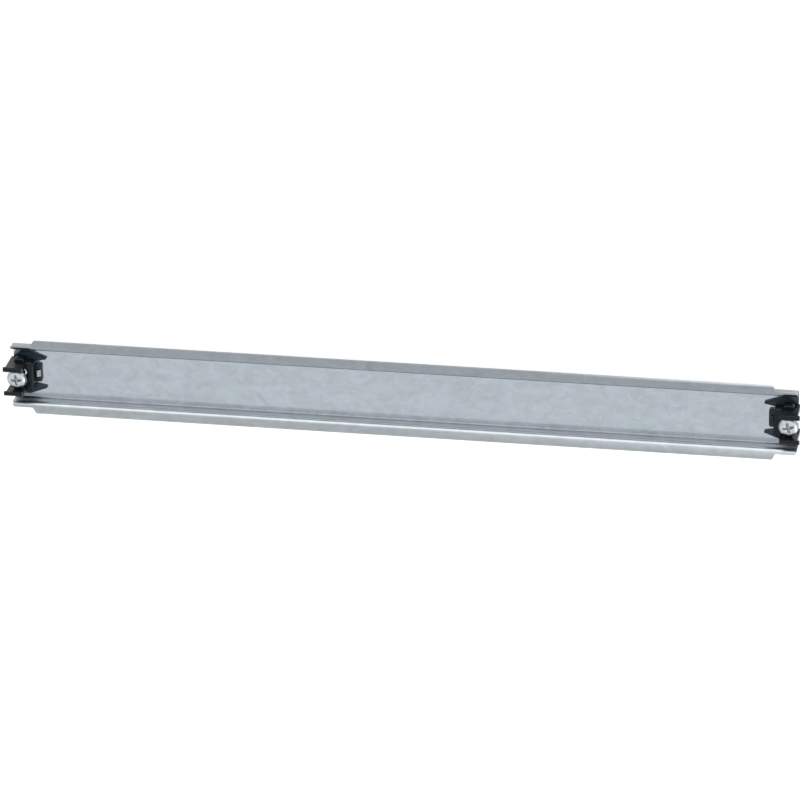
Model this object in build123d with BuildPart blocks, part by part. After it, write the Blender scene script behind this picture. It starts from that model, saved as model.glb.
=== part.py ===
from build123d import *
import os

# A top-hat mounting rail, cut to length, with a moulded screw holder at each end.
# Units are millimetres. The rail lies on the back of its web, open side up:
# X runs along the rail, Y across it, Z up from the surface that it lies on.
# The origin is the middle of the web's back.

# Rail section
rail_length = 350.0
rail_width = 35.0
rail_height = 7.5
hat_width = 27.0
sheet = 1.0
bend_inside = 0.8

# Ends of the rail
notch_depth = 2.7
notch_length = 10.0
notch_corner_round = 0.6
shoulder_run = 1.5
tip_chamfer = 0.9
screw_inset = 3.3
slot_width = 5.0

# Screw
left_turn = 4.0
right_turn = 15.0
head_diameter = 8.8
head_rise = 11.1
head_height = 2.6
head_round = 1.1
head_crown = 0.25
head_clearance = 0.4
shank_diameter = 4.0
shank_length = 9.3
point_length = 1.6
recess_span = 5.0
recess_wing = 1.0
recess_depth = 1.7
recess_taper = 8.0

# Screw holder
foot_thickness = 1.5
foot_width = 20.4
foot_start = 0.3
foot_length = 7.2
foot_corner_run = 3.2
foot_corner_width = 15.8
foot_edge = 0.35
collar_wall = 2.0
collar_reach = 0.9
collar_back_wall = 2.7
collar_corner = 1.4
collar_edge = 0.5
pocket_run = 4.2
pocket_corner = 3.4
ear_height = 6.6
ear_length = 7.0
ear_edge = 0.45
ear_corner = 0.9
lip_reach = 2.0
lip_thickness = 0.6
lip_run = 0.6
shoulder_width = 16.8
shoulder_start = 1.3
shoulder_length = 4.8
shoulder_rise = 5.8
shoulder_corner = 1.3
shoulder_edge = 0.9
finger_reach = 14.9
finger_spread = 6.95
finger_tip_width = 0.9
finger_root = 5.5
tongue_reach = 12.8
tongue_width = 8.6
tongue_corner = 1.0
slit_root = 9.6
nose_length = 1.9
nose_width = 3.0
nose_height = 1.1
grip_thickness = 1.4
grip_length = 3.4
grip_clearance = 0.05
peg_diameter = 2.4
peg_clearance = 0.05
peg_inset = 6.2
peg_edge = 5.8

half_length = rail_length / 2
web_front = sheet
peg_spacing = hat_width - 2 * peg_edge
slot_radius = slot_width / 2
collar_inside = head_diameter / 2 + head_clearance
collar_outside = collar_inside + collar_wall
pocket_end = screw_inset + pocket_run
collar_end = pocket_end + collar_back_wall
ear_top = rail_height + ear_height
fingertip_radius = finger_tip_width / 2
fingertip_middle = finger_reach - fingertip_radius
head_top = web_front + head_rise
head_seat = head_top - head_height


def end_plane(side, height):
    """Plane at one end of the rail: local X runs inboard from the end, local Y across."""
    return Plane(origin=(side * half_length, 0, height), x_dir=(-side, 0, 0), z_dir=(0, 0, 1))


def side_plane(side):
    """Upright plane on the rail's middle line: local X runs inboard from the end, local Y up."""
    return Plane(origin=(side * half_length, 0, 0), x_dir=(-side, 0, 0), z_dir=(0, side, 0))


def top_rim(part):
    """Outer edges of the highest level face of a part."""
    return part.faces().filter_by(Axis.Z).sort_by(Axis.Z)[-1].outer_wire().edges()


def make_rail():
    """Roll-formed hat section with cut-back flange ends, open screw slots and peg holes."""
    flange_mid = rail_height - sheet / 2
    wall_mid = (hat_width - sheet) / 2
    with BuildPart() as rail:
        with BuildSketch(Plane.YZ):
            with BuildLine():
                FilletPolyline(
                    (-rail_width / 2, flange_mid),
                    (-wall_mid, flange_mid),
                    (-wall_mid, sheet / 2),
                    (wall_mid, sheet / 2),
                    (wall_mid, flange_mid),
                    (rail_width / 2, flange_mid),
                    radius=bend_inside + sheet / 2,
                )
            trace(line_width=sheet)
        extrude(amount=half_length, both=True)
        for side in (-1, 1):
            with BuildSketch(end_plane(side, rail_height - sheet - bend_inside)):
                with BuildLine():
                    Polyline(
                        (-shoulder_run, rail_width / 2 - notch_depth),
                        (-shoulder_run, rail_width / 2 + shoulder_run),
                        (notch_length + shoulder_run / 2, rail_width / 2 + shoulder_run),
                        (notch_length + shoulder_run / 2, rail_width / 2),
                        (notch_length - shoulder_run / 2, rail_width / 2 - notch_depth),
                        (tip_chamfer, rail_width / 2 - notch_depth),
                        (0, rail_width / 2 - notch_depth - tip_chamfer),
                        (-shoulder_run, rail_width / 2 - notch_depth - tip_chamfer),
                        close=True,
                    )
                make_face()
                mirror(about=Plane(origin=(side * half_length, 0, 0), z_dir=(0, 1, 0)))
            extrude(amount=sheet + bend_inside, mode=Mode.SUBTRACT)
            with BuildSketch(end_plane(side, 0)):
                with Locations((screw_inset, 0)):
                    Circle(slot_radius)
                with Locations((0, 0)):
                    Rectangle(2 * screw_inset, slot_width)
                with Locations((peg_inset, peg_spacing / 2), (peg_inset, -peg_spacing / 2)):
                    Circle(peg_diameter / 2 + peg_clearance)
            extrude(amount=sheet, mode=Mode.SUBTRACT)
        upright_edges = rail.edges().filter_by(Axis.Z).group_by(Axis.Y)
        fillet(upright_edges[0] + upright_edges[-1], radius=notch_corner_round)
    return rail


def foot_outline():
    """Outline of the foot plate without its tongue: flanks and two tapered fingers."""
    half_outline = [
        (foot_start, foot_corner_width / 2),
        (foot_corner_run, foot_width / 2),
        (foot_length, foot_width / 2),
        (fingertip_middle, finger_spread + fingertip_radius),
        (fingertip_middle, finger_spread - fingertip_radius),
        (slit_root, finger_root),
    ]
    return half_outline + [(x, -y) for x, y in reversed(half_outline)]


def make_clip(side):
    """Moulded holder: foot with fingers and tongue, collar block with a pocket, shoulders and tall ears."""
    with BuildPart() as clip:
        with BuildSketch(end_plane(side, web_front)):
            with BuildLine():
                Polyline(*foot_outline(), close=True)
            make_face()
            with Locations((fingertip_middle, finger_spread), (fingertip_middle, -finger_spread)):
                Circle(fingertip_radius)
            with Locations(((foot_start + tongue_reach) / 2, 0)):
                RectangleRounded(tongue_reach - foot_start, tongue_width, tongue_corner)
        extrude(amount=foot_thickness)
        chamfer(top_rim(clip), length=foot_edge)

        with BuildSketch(end_plane(side, web_front)):
            with Locations((shoulder_start + shoulder_length / 2, 0)):
                RectangleRounded(shoulder_length, shoulder_width, shoulder_corner)
        extrude(amount=shoulder_rise)
        fillet(top_rim(clip), radius=shoulder_edge)

        with BuildSketch(end_plane(side, web_front)):
            with Locations(((collar_end - collar_reach) / 2, 0)):
                block = Rectangle(collar_end + collar_reach, 2 * collar_outside)
            fillet(block.vertices().group_by(Axis.X)[-1], radius=collar_corner)
        extrude(amount=rail_height - web_front)
        chamfer(top_rim(clip), length=collar_edge)

        with BuildSketch(side_plane(side)):
            with BuildLine():
                Polyline(
                    (-collar_reach, web_front),
                    (-collar_reach, ear_top - lip_thickness - lip_run),
                    (-lip_reach, ear_top - lip_thickness),
                    (-lip_reach, ear_top),
                    (ear_length, ear_top),
                    (ear_length, web_front),
                    close=True,
                )
            ear_face = make_face()
            fillet(ear_face.vertices().group_by(Axis.Y)[-1].group_by(Axis.X)[-1], radius=ear_corner)
        extrude(amount=collar_outside, both=True)
        fillet(top_rim(clip), radius=ear_edge)

        with BuildSketch(end_plane(side, rail_height)):
            with Locations((ear_length / 2, 0)):
                Rectangle(2 * ear_length, 2 * collar_inside)
        extrude(amount=ear_height, mode=Mode.SUBTRACT)

        with BuildSketch(end_plane(side, 0)):
            with Locations(((pocket_end - 2 * lip_reach) / 2, 0)):
                pocket = Rectangle(pocket_end + 2 * lip_reach, 2 * collar_inside)
            fillet(pocket.vertices().group_by(Axis.X)[-1], radius=pocket_corner)
        extrude(amount=rail_height, mode=Mode.SUBTRACT)

        grip_gap = shank_diameter / 2 + grip_clearance
        grip_depth = (collar_outside + collar_inside) / 2 - grip_gap
        with BuildSketch(end_plane(side, head_seat - grip_thickness)):
            grip_middle = grip_gap + grip_depth / 2
            with Locations((screw_inset, grip_middle), (screw_inset, -grip_middle)):
                Rectangle(grip_length, grip_depth)
        extrude(amount=grip_thickness)

        nose_root = web_front + foot_thickness - foot_edge
        with BuildSketch(side_plane(side)):
            with BuildLine():
                Polyline(
                    (tongue_reach, nose_root),
                    (tongue_reach - nose_length, web_front + foot_thickness + nose_height),
                    (tongue_reach - nose_length, nose_root),
                    close=True,
                )
            make_face()
        extrude(amount=nose_width / 2, both=True)

        with BuildSketch(end_plane(side, 0)):
            with Locations((peg_inset, peg_spacing / 2), (peg_inset, -peg_spacing / 2)):
                Circle(peg_diameter / 2)
        extrude(amount=web_front)
    return clip


def make_screw(side, turn):
    """Pan-head screw with a cross recess turned by some degrees, resting on the grips of its holder."""
    screw_x = side * (half_length - screw_inset)
    profile_plane = Plane(origin=(screw_x, 0, 0), x_dir=(1, 0, 0), z_dir=(0, -1, 0))
    tip = head_seat - shank_length
    with BuildPart() as screw:
        with BuildSketch(profile_plane):
            with BuildLine():
                Polyline(
                    (0, tip),
                    (shank_diameter / 2, tip + point_length),
                    (shank_diameter / 2, head_seat),
                    (head_diameter / 2, head_seat),
                    (head_diameter / 2, head_top - head_crown),
                    (0, head_top),
                    close=True,
                )
            profile = make_face()
            rim = profile.vertices().group_by(Axis.X)[-1].sort_by(Axis.Y)[-1]
            fillet(rim, radius=head_round)
        revolve(axis=Axis((screw_x, 0, 0), (0, 0, 1)))
        with BuildSketch(end_plane(side, head_top)):
            with Locations((screw_inset, 0)):
                Rectangle(recess_span, recess_wing, rotation=turn)
                Rectangle(recess_wing, recess_span, rotation=turn)
        extrude(amount=-recess_depth, taper=recess_taper, mode=Mode.SUBTRACT)
    return screw


os.makedirs("parts", exist_ok=True)

rail = make_rail()
rail.part.label = "rail"
export_step(rail.part, "parts/rail.step")

for side, place, turn in ((-1, "left", left_turn), (1, "right", right_turn)):
    clip = make_clip(side)
    clip.part.label = f"end_clip_{place}"
    export_step(clip.part, f"parts/end_clip_{place}.step")

    screw = make_screw(side, turn)
    screw.part.label = f"screw_{place}"
    export_step(screw.part, f"parts/screw_{place}.step")
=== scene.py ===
import math

import bmesh
import bpy
from mathutils import Matrix, Vector


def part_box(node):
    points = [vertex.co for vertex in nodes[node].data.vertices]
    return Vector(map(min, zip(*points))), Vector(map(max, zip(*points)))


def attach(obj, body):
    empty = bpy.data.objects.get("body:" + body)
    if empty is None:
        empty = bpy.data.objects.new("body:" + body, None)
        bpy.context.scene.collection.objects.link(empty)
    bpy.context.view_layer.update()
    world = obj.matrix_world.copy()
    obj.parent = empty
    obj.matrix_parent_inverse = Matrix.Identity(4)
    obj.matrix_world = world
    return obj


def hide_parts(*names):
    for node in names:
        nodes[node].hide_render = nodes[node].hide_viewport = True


# Looks of a galvanised top-hat rail with a black moulded screw holder at each end.
# Metres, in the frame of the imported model: X along the rail, Y across it, Z up.

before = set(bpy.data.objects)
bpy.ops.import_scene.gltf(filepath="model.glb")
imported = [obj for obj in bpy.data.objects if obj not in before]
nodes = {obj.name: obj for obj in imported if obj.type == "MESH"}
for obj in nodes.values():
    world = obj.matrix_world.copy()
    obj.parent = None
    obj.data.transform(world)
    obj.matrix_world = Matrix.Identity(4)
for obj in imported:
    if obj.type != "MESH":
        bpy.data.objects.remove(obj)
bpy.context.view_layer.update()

MM = 0.001

# Noise settings give a scale per millimetre. A stretch below 1 draws the noise out along that axis.
# SOFT is the part of a noise's range that is spread over a whole effect.
SOFT = (0.3, 0.7)
NOISE_ROUGHNESS = 0.55

# Rail section: the web's upper face, half of the channel's inside width, and the bends' outside radius
WEB_FRONT = 1.0 * MM
CHANNEL_HALF = 12.5 * MM
BEND = 1.8 * MM

# Steel all over: dull and bright patches, with a faint green or blue cast
STEEL_DULL = (0.410, 0.453, 0.496)
STEEL_BRIGHT = (0.494, 0.544, 0.594)
PATCHES = {"scale": 0.25, "detail": 5.0, "stretch": (0.7, 1.0, 1.0), "distortion": 0.9}
BANDS = {"scale": 0.16, "detail": 2.0, "stretch": (0.012, 1.0, 1.0)}
STREAKS = {"scale": 1.6, "detail": 3.0, "stretch": (0.02, 1.0, 1.0)}
PATCH_SHARE = 0.70
BAND_SHARE = 0.22
STREAK_SHARE = 0.08
PATCH_RANGE = (0.36, 0.64)
CASTS = {"scale": 0.12, "detail": 2.0, "stretch": (0.6, 1.0, 1.0)}
CAST_RANGE = (0.42, 0.58)
GREEN_CAST = (0.994, 1.008, 1.000)
BLUE_CAST = (1.004, 0.997, 1.010)
STEEL_ROUGHNESS = (0.14, 0.19)
STREAK_BUMP = (0.02, 0.01 * MM)

# Steel by place: painted shade on the flanges and in the inside corners, and painted highlights on the
# flange edges towards the right end
UPPER_FLANGE = (CHANNEL_HALF, CHANNEL_HALF + 0.3 * BEND)
UPPER_FLANGE_SHADE = 0.67
LOWER_FLANGE = (-CHANNEL_HALF - BEND, -CHANNEL_HALF - 0.4 * BEND)
LOWER_FLANGE_SHADE = 0.80
CORNER_SHADE_REACH = (0.38 * MM, 0.80 * MM)
CORNER_SHADE_TONE = 0.52
UPPER_HIGHLIGHT_ACROSS = (16.7 * MM, 17.3 * MM)
UPPER_HIGHLIGHT_ALONG = (60.0 * MM, 150.0 * MM)
UPPER_HIGHLIGHT_GAIN = 0.95
LOWER_HIGHLIGHT_ACROSS = (-16.8 * MM, -14.0 * MM)
LOWER_HIGHLIGHT_STOP = (-13.9 * MM, -13.2 * MM)
LOWER_HIGHLIGHT_ALONG = (-20.0 * MM, 150.0 * MM)
LOWER_HIGHLIGHT_GAIN = 0.40

# Steel by place: warmer walls, painted reflection lines on the lower wall, a rougher lower side, and dull
# cut ends
LOW_SIDE = (-12.4 * MM, -11.9 * MM)
LOW_SIDE_TINT = (1.025, 1.000, 0.960)
WALL_FACING = (0.3, 0.9)
WALL_TINT = (1.045, 1.000, 0.975)
WALL_TOP = (5.6 * MM, 6.3 * MM)
WALL_REFLECTION_LINES = {"scale": 1.1, "detail": 1.0}
WALL_REFLECTION_RANGE = (0.38, 0.62)
WALL_REFLECTION_GAIN = (-0.26, 0.16)
WORN_SIDE = (-12.4 * MM, -9.8 * MM)
WORN_ROUGHNESS = 0.15
CUT_FACING = (0.9, 0.98)
CUT_TONE = 0.50
CUT_ROUGHNESS = 0.25

# Plastic: black, with painted light on the holder's foot: its low upward faces lighter and bluer, and the
# rest of the plastic darker
PLASTIC_DARK = (0.008, 0.014, 0.019)
PLASTIC_PALE = (0.012, 0.020, 0.026)
PLASTIC_CLOUD = {"scale": 0.5, "detail": 2.0}
PLASTIC_SHADED_TINT = (0.50, 0.52, 0.50)
FOOT_LIT_TINT = (1.80, 2.05, 2.15)
FOOT_FACING = (0.6, 0.95)
FOOT_TOP = (3.0 * MM, 4.5 * MM)
PLASTIC_GLOSS = 0.225
PLASTIC_ROUGHNESS = (0.18, 0.26)
PLASTIC_GRAIN = {"scale": 9.0, "detail": 2.0}
GRAIN_BUMP = (0.10, 0.02 * MM)

# Zinc plate: brighter and duller patches, turning marks, and painted shade in the recess, by its depth below
# SCREW_TOP
ZINC_DARK = (0.530, 0.574, 0.605)
ZINC_PALE = (0.616, 0.666, 0.700)
ZINC_CLOUD = {"scale": 0.7, "detail": 3.0}
ZINC_FACETS = {"scale": 0.42, "detail": 1.0}
ZINC_FACET_RANGE = (0.38, 0.60)
ZINC_FACET_TONE = 0.84
ZINC_ROUGHNESS = (0.33, 0.41)
TURNING = {"scale": 5.0, "detail": 2.0}
TURNING_BUMP = (0.12, 0.02 * MM)
SCREW_TOP = 12.1 * MM
RECESS_SHADE = (SCREW_TOP - 1.0 * MM, SCREW_TOP - 0.35 * MM)
RECESS_SHADE_TONE = 0.60

# Screws: a turned pan head with a cross recess, over a pointed shank with a coarse thread
HEAD_HEIGHT = 2.6 * MM
HEAD_ROUND = 1.8 * MM
HEAD_CROWN = 0.22 * MM
HEAD_EDGE = 0.2 * MM
NECK_FILLET = 0.3 * MM
THREAD_CREST = 2.0 * MM
THREAD_ROOT = 1.5 * MM
THREAD_PITCH = 1.4 * MM
THREAD_SHARE = 0.24
THREAD_FADE = 0.9 * MM
POINT_LENGTH = 1.6 * MM
WING_REACH = 2.55 * MM
WING_HALF = 0.60 * MM
WING_TIP_HALF = 0.42 * MM
WING_WALL = 0.40 * MM
RECESS_DEPTH = 1.6 * MM
RECESS_SHELF = 0.55
RIB_REACH = 2.0 * MM
RIB_HALF = 0.14 * MM
RIB_DEPTH = 0.22 * MM
LEFT_TURN = math.radians(4.0)
RIGHT_TURN = math.radians(15.0)

# Screws: points round each ring, and rings along each stretch of the surface
SCREW_SEGMENTS = 200
SHANK_ROWS = 96
NECK_STEPS = 6
SEAT_STEPS = 7
EDGE_STEPS = 4
RIM_STEPS = 12
TOP_ROWS = 66

# Camera, fitted to the photograph's viewing angle
CAMERA_TURN = math.radians(10.909)
CAMERA_TILT = math.radians(24.416)
CAMERA_ROLL = math.radians(-1.013)
CAMERA_DISTANCE = 2429.562 * MM
CAMERA_SIDEWAYS = -0.767 * MM
CAMERA_UPWARDS = -2.661 * MM
CAMERA_CLIP = 20.0
SENSOR_WIDTH = 36.0
FOCAL_PIXELS = 5534.309
IMAGE_WIDTH = 800

# Studio: a floor just below the rail's back, a surround, and two lamps by direction, size and radiance
FLOOR_SIZE = 6.0
FLOOR_CELLS = 8
FLOOR_DROP = 0.05 * MM
FLOOR_COLOUR = (0.86, 0.86, 0.86)
FLOOR_GLOW = 0.56
WORLD_COLOUR = (1.0, 1.0, 1.0)
WORLD_LEVEL = 0.56
LAMP_DISTANCE = 1.6
KEY_FROM = Vector((0.76, -0.42, 0.50))
KEY_SIZE = (0.28, 0.28)
KEY_RADIANCE = 40.0
BACK_FROM = Vector((-0.12, 0.815, 0.571))
BACK_SIZE = (2.6, 1.65)
BACK_RADIANCE = 0.90


class Shader:
    """The node tree of a material or world, with short calls that add a node and join it to others."""

    def __init__(self, owner, kind):
        owner.use_nodes = True
        self.owner = owner
        self.tree = owner.node_tree
        self.tree.nodes.clear()
        self.output = self.node(f"ShaderNodeOutput{kind}")

    def node(self, node_type, **settings):
        made = self.tree.nodes.new(node_type)
        for name, value in settings.items():
            setattr(made, name, value)
        return made

    def join(self, source, target):
        self.tree.links.new(source, target)

    def axis(self, name, kind="Object"):
        """One of the object coordinates in metres, or with Normal, of the parts of a face's direction."""
        coordinates = self.node("ShaderNodeTexCoord")
        parts = self.node("ShaderNodeSeparateXYZ")
        self.join(coordinates.outputs[kind], parts.inputs["Vector"])
        return parts.outputs[name]

    def facing(self, name):
        """1 where a face looks along one of the part's axes, either way, and 0 where it stands along it."""
        return self.compute("ABSOLUTE", self.axis(name, "Normal"))

    def noise(self, scale, detail, stretch=(1.0, 1.0, 1.0), distortion=0.0):
        """Soft noise over the object, from 0 to 1."""
        coordinates = self.node("ShaderNodeTexCoord")
        mapping = self.node("ShaderNodeMapping")
        mapping.inputs["Scale"].default_value = tuple(share / MM for share in stretch)
        self.join(coordinates.outputs["Object"], mapping.inputs["Vector"])
        made = self.node("ShaderNodeTexNoise")
        made.inputs["Scale"].default_value = scale
        made.inputs["Detail"].default_value = detail
        made.inputs["Roughness"].default_value = NOISE_ROUGHNESS
        made.inputs["Distortion"].default_value = distortion
        self.join(mapping.outputs["Vector"], made.inputs["Vector"])
        return made.outputs["Fac"]

    def line_noise(self, distance, scale, detail):
        """Soft noise along one distance, from 0 to 1."""
        made = self.node("ShaderNodeTexNoise", noise_dimensions="1D")
        made.inputs["Scale"].default_value = scale
        made.inputs["Detail"].default_value = detail
        self.join(self.compute("MULTIPLY", distance, 1.0 / MM), made.inputs["W"])
        return made.outputs["Fac"]

    def ramp(self, value, source, target=(0.0, 1.0)):
        """A value carried from one range to another, and held at the ends of it."""
        made = self.node("ShaderNodeMapRange")
        made.inputs["From Min"].default_value, made.inputs["From Max"].default_value = source
        made.inputs["To Min"].default_value, made.inputs["To Max"].default_value = target
        self.join(value, made.inputs["Value"])
        return made.outputs["Result"]

    def compute(self, operation, first, second=0.0):
        """One step of arithmetic. Each value is a number or another node's output."""
        made = self.node("ShaderNodeMath", operation=operation)
        for socket, value in zip(made.inputs, (first, second)):
            if isinstance(value, float):
                socket.default_value = value
            else:
                self.join(value, socket)
        return made.outputs["Value"]

    def product(self, first, *others):
        for other in others:
            first = self.compute("MULTIPLY", first, other)
        return first

    def total(self, first, *others):
        for other in others:
            first = self.compute("ADD", first, other)
        return first

    def length(self, first, second):
        """The distance that two distances at right angles make."""
        squares = self.total(self.compute("POWER", first, 2.0), self.compute("POWER", second, 2.0))
        return self.compute("SQRT", squares)

    def tint(self, colour, factors):
        """A colour times a fixed tint."""
        made = self.node("ShaderNodeVectorMath", operation="MULTIPLY")
        self.join(colour, made.inputs[0])
        made.inputs[1].default_value = factors
        return made.outputs["Vector"]

    def dim(self, colour, share):
        """A colour times a grey value."""
        made = self.node("ShaderNodeVectorMath", operation="SCALE")
        self.join(colour, made.inputs["Vector"])
        self.join(share, made.inputs["Scale"])
        return made.outputs["Vector"]

    def blend(self, share, first, second):
        """A colour between two others, each fixed or another node's output."""
        made = self.node("ShaderNodeMix", data_type="RGBA")
        self.join(share, made.inputs["Factor"])
        for name, colour in (("A", first), ("B", second)):
            socket = [i for i in made.inputs if i.name == name and i.type == "RGBA"][0]
            if isinstance(colour, tuple):
                socket.default_value = (*colour, 1.0)
            else:
                self.join(colour, socket)
        return [o for o in made.outputs if o.type == "RGBA"][0]

    def bump(self, height, strength, depth):
        made = self.node("ShaderNodeBump")
        made.inputs["Strength"].default_value = strength
        made.inputs["Distance"].default_value = depth
        self.join(height, made.inputs["Height"])
        return made.outputs["Normal"]

    def sees_background(self):
        """1 or more for the rays of the camera, of metal and of glass, and 0 for the rest."""
        rays = self.node("ShaderNodeLightPath")
        names = ("Is Camera Ray", "Is Glossy Ray", "Is Transmission Ray")
        return self.total(*(rays.outputs[name] for name in names))

    def surface(self, colour, roughness, normal, metallic, gloss=0.5):
        """The finished material: a principled shader, metal or not, with its specular level."""
        made = self.node("ShaderNodeBsdfPrincipled")
        self.join(colour, made.inputs["Base Color"])
        self.join(roughness, made.inputs["Roughness"])
        self.join(normal, made.inputs["Normal"])
        made.inputs["Metallic"].default_value = metallic
        made.inputs["Specular IOR Level"].default_value = gloss
        self.join(made.outputs["BSDF"], self.output.inputs["Surface"])
        return self.owner


def steel_light_and_shade(shader):
    """How bright the sheet is painted by place: painted shade on the flanges and in the inside corners,
    painted highlights on the flange edges, and painted reflection lines on the lower wall.
    """
    x, y, z = [shader.axis(name) for name in "XYZ"]
    # Painted shade: both flanges darker than the web, the upper one more.
    upper_shade = shader.ramp(y, UPPER_FLANGE, (1.0, UPPER_FLANGE_SHADE))
    lower_shade = shader.ramp(y, LOWER_FLANGE, (LOWER_FLANGE_SHADE, 1.0))
    # Painted shade in the inside corners between the web and the walls.
    from_wall = shader.compute("SUBTRACT", shader.compute("ABSOLUTE", y), CHANNEL_HALF)
    from_web = shader.compute("SUBTRACT", z, WEB_FRONT)
    corner = shader.ramp(shader.length(from_wall, from_web), CORNER_SHADE_REACH, (CORNER_SHADE_TONE, 1.0))
    # Painted highlights: the upper flange's outer edge and the lower flange's outer part, brightened towards
    # the right end.
    upper_highlight = shader.product(
        shader.ramp(y, UPPER_HIGHLIGHT_ACROSS, (0.0, UPPER_HIGHLIGHT_GAIN)),
        shader.ramp(x, UPPER_HIGHLIGHT_ALONG),
    )
    lower_highlight = shader.product(
        shader.ramp(y, LOWER_HIGHLIGHT_ACROSS, (0.0, LOWER_HIGHLIGHT_GAIN)),
        shader.ramp(y, LOWER_HIGHLIGHT_STOP, (1.0, 0.0)),
        shader.ramp(x, LOWER_HIGHLIGHT_ALONG),
    )
    painted_highlights = shader.total(upper_highlight, lower_highlight, 1.0)
    # Painted reflections: dark and light lines along the lower wall.
    wall_reflections = shader.product(
        shader.ramp(y, LOW_SIDE, (1.0, 0.0)),
        shader.ramp(z, WALL_TOP, (1.0, 0.0)),
        shader.ramp(shader.line_noise(z, **WALL_REFLECTION_LINES), WALL_REFLECTION_RANGE, WALL_REFLECTION_GAIN),
    )
    return shader.product(upper_shade, lower_shade, corner, painted_highlights, shader.total(wall_reflections, 1.0))


def steel_material():
    """Galvanised and passivated sheet: quiet wispy patches, and faint lines along the rolling direction."""
    shader = Shader(bpy.data.materials.new("galvanised_steel"), "Material")
    patches = shader.noise(**PATCHES)
    streaks = shader.noise(**STREAKS)
    tone = shader.total(
        shader.product(patches, PATCH_SHARE),
        shader.product(shader.noise(**BANDS), BAND_SHARE),
        shader.product(streaks, STREAK_SHARE),
    )
    colour = shader.blend(shader.ramp(tone, PATCH_RANGE), STEEL_DULL, STEEL_BRIGHT)
    cast = shader.ramp(shader.noise(**CASTS), CAST_RANGE)
    colour = shader.blend(cast, shader.tint(colour, GREEN_CAST), shader.tint(colour, BLUE_CAST))
    across = shader.axis("Y")
    low_side = shader.ramp(across, LOW_SIDE, (1.0, 0.0))
    colour = shader.blend(low_side, colour, shader.tint(colour, LOW_SIDE_TINT))
    walls = shader.ramp(shader.facing("Y"), WALL_FACING)
    colour = shader.blend(walls, colour, shader.tint(colour, WALL_TINT))
    cut = shader.facing("X")
    cut_tone = shader.ramp(cut, CUT_FACING, (1.0, CUT_TONE))
    # The sheet's painted light and shade, and the dull cut ends.
    colour = shader.dim(colour, shader.product(steel_light_and_shade(shader), cut_tone))
    roughness = shader.total(
        shader.ramp(patches, SOFT, STEEL_ROUGHNESS),
        shader.ramp(across, WORN_SIDE, (WORN_ROUGHNESS, 0.0)),
        shader.ramp(cut, CUT_FACING, (0.0, CUT_ROUGHNESS)),
    )
    return shader.surface(colour, roughness, shader.bump(streaks, *STREAK_BUMP), metallic=1.0)


def plastic_material():
    """Black moulded plastic, semi-gloss, with a very fine spark-eroded texture."""
    shader = Shader(bpy.data.materials.new("black_plastic"), "Material")
    cloud = shader.noise(**PLASTIC_CLOUD)
    colour = shader.blend(shader.ramp(cloud, SOFT), PLASTIC_DARK, PLASTIC_PALE)
    # Painted light: low faces that look up take a lighter, bluer copy of the colour, and all other faces a
    # darker copy.
    foot = shader.product(
        shader.ramp(shader.facing("Z"), FOOT_FACING),
        shader.ramp(shader.axis("Z"), FOOT_TOP, (1.0, 0.0)),
    )
    colour = shader.blend(foot, shader.tint(colour, PLASTIC_SHADED_TINT), shader.tint(colour, FOOT_LIT_TINT))
    roughness = shader.ramp(cloud, SOFT, PLASTIC_ROUGHNESS)
    normal = shader.bump(shader.noise(**PLASTIC_GRAIN), *GRAIN_BUMP)
    return shader.surface(colour, roughness, normal, metallic=0.0, gloss=PLASTIC_GLOSS)


def zinc_material():
    """Bright zinc plate over fine turning marks, with painted shade down in the recess."""
    shader = Shader(bpy.data.materials.new("zinc_plate"), "Material")
    cloud = shader.noise(**ZINC_CLOUD)
    colour = shader.blend(shader.ramp(cloud, SOFT), ZINC_DARK, ZINC_PALE)
    facets = shader.ramp(shader.noise(**ZINC_FACETS), ZINC_FACET_RANGE, (ZINC_FACET_TONE, 1.0))
    # Painted shade: the colour darkens down in the cross recess.
    recess = shader.ramp(shader.axis("Z"), RECESS_SHADE, (RECESS_SHADE_TONE, 1.0))
    colour = shader.dim(shader.dim(colour, facets), recess)
    roughness = shader.ramp(cloud, SOFT, ZINC_ROUGHNESS)
    turning = shader.line_noise(shader.length(shader.axis("X"), shader.axis("Y")), **TURNING)
    return shader.surface(colour, roughness, shader.bump(turning, *TURNING_BUMP), metallic=1.0)


def dress(node, material):
    """A CAD node's surface takes one material all over."""
    slots = nodes[node].data.materials
    slots.clear()
    slots.append(material)


def smooth_step(value, low, high):
    """0 below low, 1 above high, and a soft ramp between them."""
    share = min(max((value - low) / (high - low), 0.0), 1.0)
    return share * share * (3.0 - 2.0 * share)


def slot_depth(along, side, reach, root_half, tip_half, wall):
    """How deep inside a tapered slot a point of the head lies, from 0 at its edge to 1 past its wall."""
    share = min(abs(along) / reach, 1.0)
    half = root_half + share * (tip_half - root_half)
    return smooth_step(half + wall / 2 - abs(side), 0.0, wall) * smooth_step(reach - abs(along), 0.0, wall)


def recess_depth(x, y, turn):
    """Depth of the cross recess below the head's top: two crossed slots, with four shallow ribs between."""
    along = x * math.cos(turn) + y * math.sin(turn)
    side = y * math.cos(turn) - x * math.sin(turn)
    cross = max(
        slot_depth(along, side, WING_REACH, WING_HALF, WING_TIP_HALF, WING_WALL),
        slot_depth(side, along, WING_REACH, WING_HALF, WING_TIP_HALF, WING_WALL),
    )
    first = (along + side) / math.sqrt(2.0)
    second = (side - along) / math.sqrt(2.0)
    ribs = max(
        slot_depth(first, second, RIB_REACH, RIB_HALF, RIB_HALF, WING_WALL),
        slot_depth(second, first, RIB_REACH, RIB_HALF, RIB_HALF, WING_WALL),
    )
    floor = RECESS_DEPTH * (1.0 - RECESS_SHELF * min(math.hypot(x, y) / WING_REACH, 1.0))
    return max(cross * floor, ribs * RIB_DEPTH)


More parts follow.
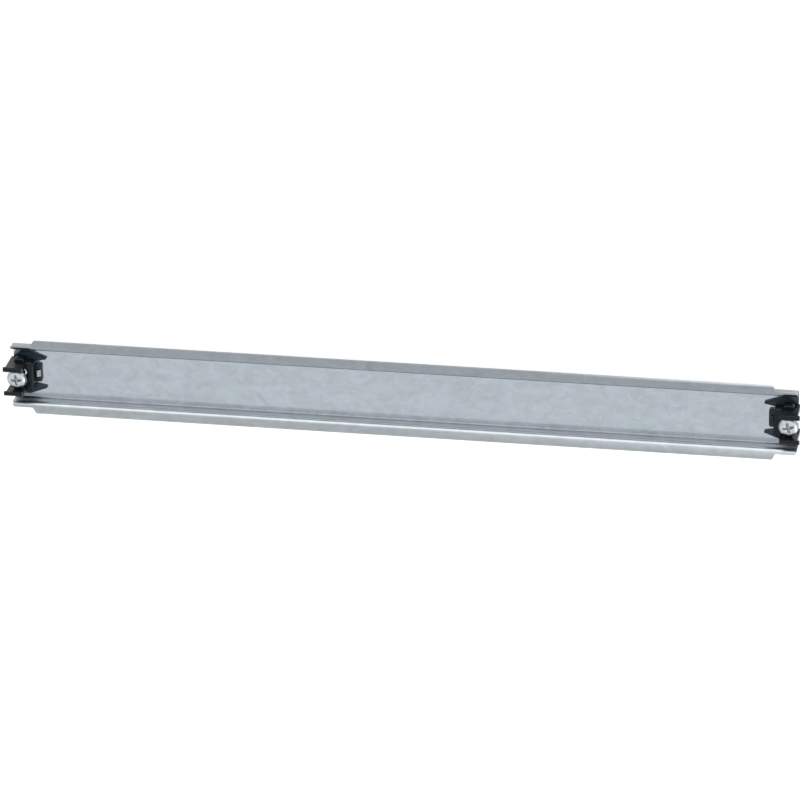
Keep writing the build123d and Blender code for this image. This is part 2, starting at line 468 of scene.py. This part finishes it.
def thread_radius(height, angle, tip, neck):
    """Radius of the threaded shank: a thin helical ridge on a round root, tapered to the point."""
    turn = (height / THREAD_PITCH - angle / math.tau) % 1.0
    ridge = max(0.0, 1.0 - abs(turn - 0.5) / THREAD_SHARE)
    ridge *= smooth_step(neck - height, 0.0, THREAD_FADE)
    full = THREAD_ROOT + ridge * (THREAD_CREST - THREAD_ROOT)
    return full * min(1.0, (height - tip) / POINT_LENGTH)


def screw_rings(radius, tip, top, turn):
    """The screw's surface as closed rings of points, from above its point to beside the head's middle."""
    seat = top - HEAD_HEIGHT
    neck = seat - NECK_FILLET
    angles = [math.tau * k / SCREW_SEGMENTS for k in range(SCREW_SEGMENTS)]
    rings = []

    def turned(ring_radius, height):
        rings.append([(ring_radius * math.cos(a), ring_radius * math.sin(a), height) for a in angles])

    for row in range(1, SHANK_ROWS):
        height = tip + (neck - tip) * row / SHANK_ROWS
        ring = []
        for angle in angles:
            reach = thread_radius(height, angle, tip, neck)
            ring.append((reach * math.cos(angle), reach * math.sin(angle), height))
        rings.append(ring)
    for step in range(NECK_STEPS + 1):
        bend = math.pi / 2 * step / NECK_STEPS
        turned(THREAD_ROOT + NECK_FILLET * (1 - math.cos(bend)), neck + NECK_FILLET * math.sin(bend))
    seat_inner = THREAD_ROOT + NECK_FILLET
    seat_outer = radius - HEAD_EDGE
    for step in range(1, SEAT_STEPS + 1):
        turned(seat_inner + (seat_outer - seat_inner) * step / SEAT_STEPS, seat)
    for step in range(1, EDGE_STEPS + 1):
        bend = math.pi / 2 * step / EDGE_STEPS
        turned(seat_outer + HEAD_EDGE * math.sin(bend), seat + HEAD_EDGE * (1 - math.cos(bend)))
    flat_radius = radius - HEAD_ROUND
    rim_height = top - HEAD_CROWN - HEAD_ROUND
    for step in range(RIM_STEPS + 1):
        bend = math.pi / 2 * step / RIM_STEPS
        turned(flat_radius + HEAD_ROUND * math.cos(bend), rim_height + HEAD_ROUND * math.sin(bend))
    for row in range(1, TOP_ROWS):
        ring_radius = flat_radius * (1 - row / TOP_ROWS)
        level = top - HEAD_CROWN * (ring_radius / flat_radius) ** 2
        ring = []
        for angle in angles:
            x, y = ring_radius * math.cos(angle), ring_radius * math.sin(angle)
            ring.append((x, y, level - recess_depth(x, y, turn)))
        rings.append(ring)
    return rings


def make_screw(node, turn, material):
    """A detailed screw in the place of its CAD node, upright on the node's axis."""
    low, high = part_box(node)
    middle = (low + high) / 2
    rings = screw_rings((high.x - low.x) / 2, low.z, high.z, turn)
    mesh = bpy.data.meshes.new(f"{node}_turned")
    build = bmesh.new()
    point = build.verts.new((0.0, 0.0, low.z))
    centre = build.verts.new((0.0, 0.0, high.z - recess_depth(0.0, 0.0, turn)))
    loops = [[build.verts.new(place) for place in ring] for ring in rings]
    for k in range(SCREW_SEGMENTS):
        after = (k + 1) % SCREW_SEGMENTS
        build.faces.new((point, loops[0][after], loops[0][k]))
        build.faces.new((centre, loops[-1][k], loops[-1][after]))
        for lower, upper in zip(loops, loops[1:]):
            build.faces.new((lower[k], lower[after], upper[after], upper[k]))
    for face in build.faces:
        face.smooth = True
    build.to_mesh(mesh)
    build.free()
    screw = bpy.data.objects.new(f"{node}_turned", mesh)
    screw.location = (middle.x, middle.y, 0.0)
    bpy.context.scene.collection.objects.link(screw)
    mesh.materials.append(material)
    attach(screw, "root")
    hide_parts(node)


def make_floor():
    """A pale floor under the rail. It shows white to the camera, metal and glass, and keeps the shadow."""
    mesh = bpy.data.meshes.new("floor")
    grid = bmesh.new()
    bmesh.ops.create_grid(grid, x_segments=FLOOR_CELLS, y_segments=FLOOR_CELLS, size=FLOOR_SIZE / 2)
    grid.to_mesh(mesh)
    grid.free()
    floor = bpy.data.objects.new("floor", mesh)
    floor.location.z = -FLOOR_DROP
    bpy.context.scene.collection.objects.link(floor)
    shader = Shader(bpy.data.materials.new("studio_floor"), "Material")
    diffuse = shader.node("ShaderNodeBsdfDiffuse")
    diffuse.inputs["Color"].default_value = (*FLOOR_COLOUR, 1.0)
    glow = shader.node("ShaderNodeEmission")
    strength = shader.ramp(shader.sees_background(), (0.0, 1.0), (0.0, FLOOR_GLOW))
    shader.join(strength, glow.inputs["Strength"])
    both = shader.node("ShaderNodeAddShader")
    shader.join(diffuse.outputs["BSDF"], both.inputs[0])
    shader.join(glow.outputs["Emission"], both.inputs[1])
    shader.join(both.outputs["Shader"], shader.output.inputs["Surface"])
    mesh.materials.append(shader.owner)


def make_world():
    """An even, pale surround. The camera, metal and glass see it plain white."""
    world = bpy.data.worlds.new("studio")
    bpy.context.scene.world = world
    shader = Shader(world, "World")
    background = shader.node("ShaderNodeBackground")
    background.inputs["Color"].default_value = (*WORLD_COLOUR, 1.0)
    level = shader.ramp(shader.sees_background(), (0.0, 1.0), (WORLD_LEVEL, 1.0))
    shader.join(level, background.inputs["Strength"])
    shader.join(background.outputs["Background"], shader.output.inputs["Surface"])


def make_lamp(name, direction, size, radiance):
    """A rectangular soft light that faces the middle of the rail, with its long side along it."""
    lamp = bpy.data.lights.new(name, "AREA")
    lamp.shape = "RECTANGLE"
    lamp.size, lamp.size_y = size
    lamp.energy = radiance * math.pi * size[0] * size[1]
    holder = bpy.data.objects.new(name, lamp)
    facing = direction.normalized()
    along = Vector((1.0, 0.0, 0.0)) - facing * facing.x
    along.normalize()
    holder.location = facing * LAMP_DISTANCE
    holder.rotation_mode = "QUATERNION"
    holder.rotation_quaternion = Matrix((along, facing.cross(along), facing)).transposed().to_quaternion()
    bpy.context.scene.collection.objects.link(holder)


def make_camera():
    """The photograph's camera: it looks down on the open side, from the right and from behind."""
    level = math.cos(CAMERA_TILT)
    back = Vector((math.sin(CAMERA_TURN) * level, math.sin(CAMERA_TILT), math.cos(CAMERA_TURN) * level))
    right = Vector((0.0, 1.0, 0.0)).cross(back).normalized()
    up = back.cross(right)
    rolled_right = math.cos(CAMERA_ROLL) * right + math.sin(CAMERA_ROLL) * up
    rolled_up = back.cross(rolled_right)
    matrix = Matrix((rolled_right, rolled_up, back)).transposed().to_4x4()
    matrix.translation = (
        back * CAMERA_DISTANCE
        + rolled_right * CAMERA_SIDEWAYS
        + rolled_up * CAMERA_UPWARDS
        + Vector((0.0, 0.0, WEB_FRONT))
    )
    camera = bpy.data.cameras.new("camera")
    camera.sensor_width = SENSOR_WIDTH
    camera.lens = SENSOR_WIDTH * FOCAL_PIXELS / IMAGE_WIDTH
    camera.clip_end = CAMERA_CLIP
    holder = bpy.data.objects.new("camera", camera)
    holder.matrix_world = matrix
    bpy.context.scene.collection.objects.link(holder)
    bpy.context.scene.camera = holder


make_camera()
make_world()
make_floor()
make_lamp("key", KEY_FROM, KEY_SIZE, KEY_RADIANCE)
make_lamp("back", BACK_FROM, BACK_SIZE, BACK_RADIANCE)

dress("rail", steel_material())
plastic = plastic_material()
zinc = zinc_material()
for place, turn in (("left", LEFT_TURN), ("right", RIGHT_TURN)):
    dress(f"end_clip_{place}", plastic)
    make_screw(f"screw_{place}", turn, zinc)

bpy.context.scene.view_settings.view_transform = "Standard"
